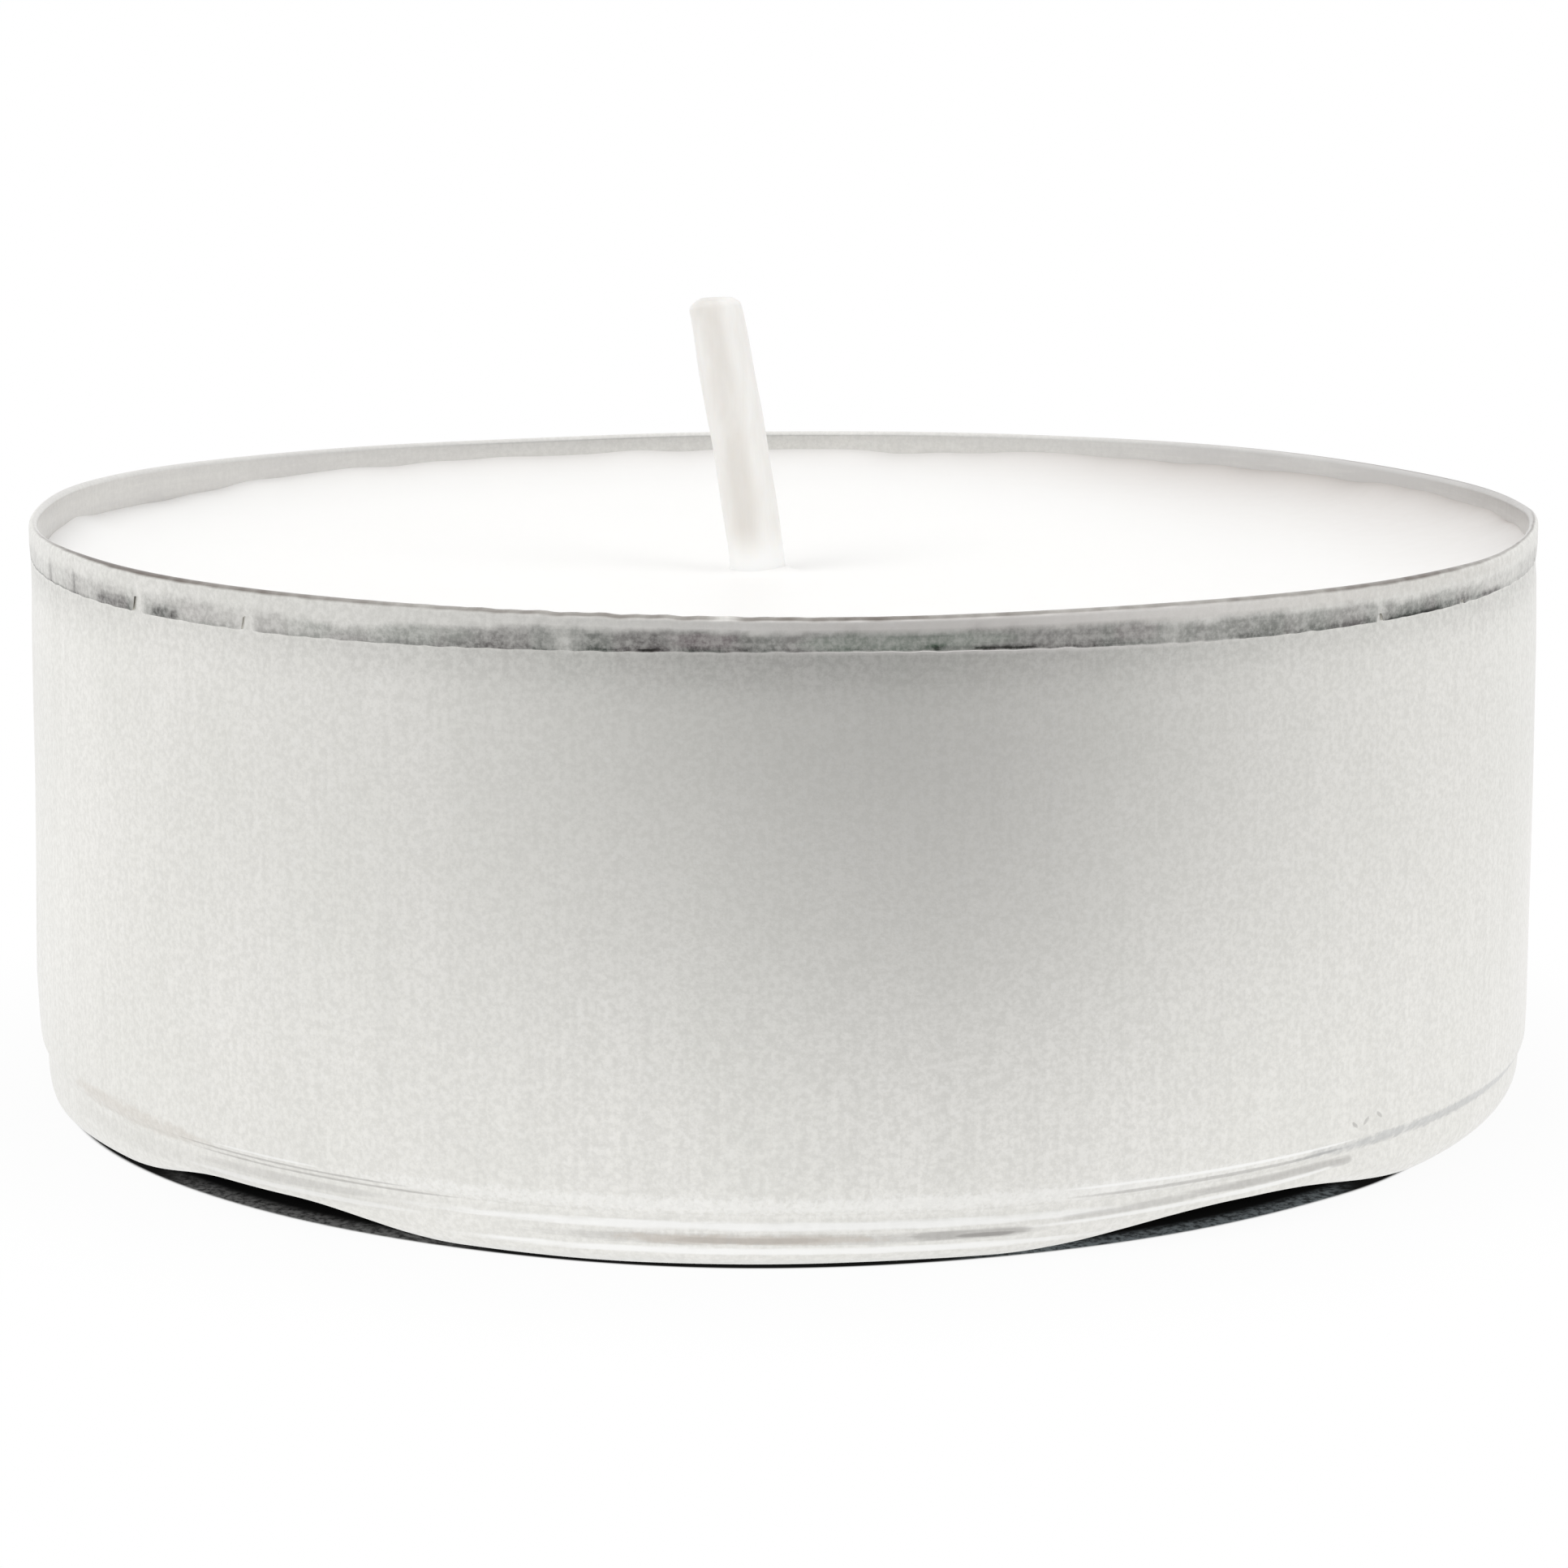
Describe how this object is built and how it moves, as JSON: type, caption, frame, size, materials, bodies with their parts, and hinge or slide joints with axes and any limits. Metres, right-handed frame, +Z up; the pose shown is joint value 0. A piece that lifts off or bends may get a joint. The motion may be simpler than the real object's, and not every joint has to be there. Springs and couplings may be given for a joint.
{
  "type": "tea light candle",
  "caption": "Tea light candle: drawn foil cup with a folded rim and a footed base, filled with dished white wax round a short leaning wick in a metal tab.",
  "frame": {"origin": "on the cup's axis, in the plane that the feet stand on", "axes": "+Z up along the cup's axis, -Y to the front, -X to the side that the wick leans to"},
  "size_m": [0.038, 0.038, 0.0197],
  "materials": {
    "foil": "satin drawn foil",
    "wax": "smooth paraffin wax",
    "wick": "wax-coated cotton braid",
    "tab_metal": "tinned sheet steel"
  },
  "bodies": {
    "root": {"cup": "foil", "wax": "wax", "wick": "wick", "wick_tab": "tab_metal"}
  },
  "joints": []
}
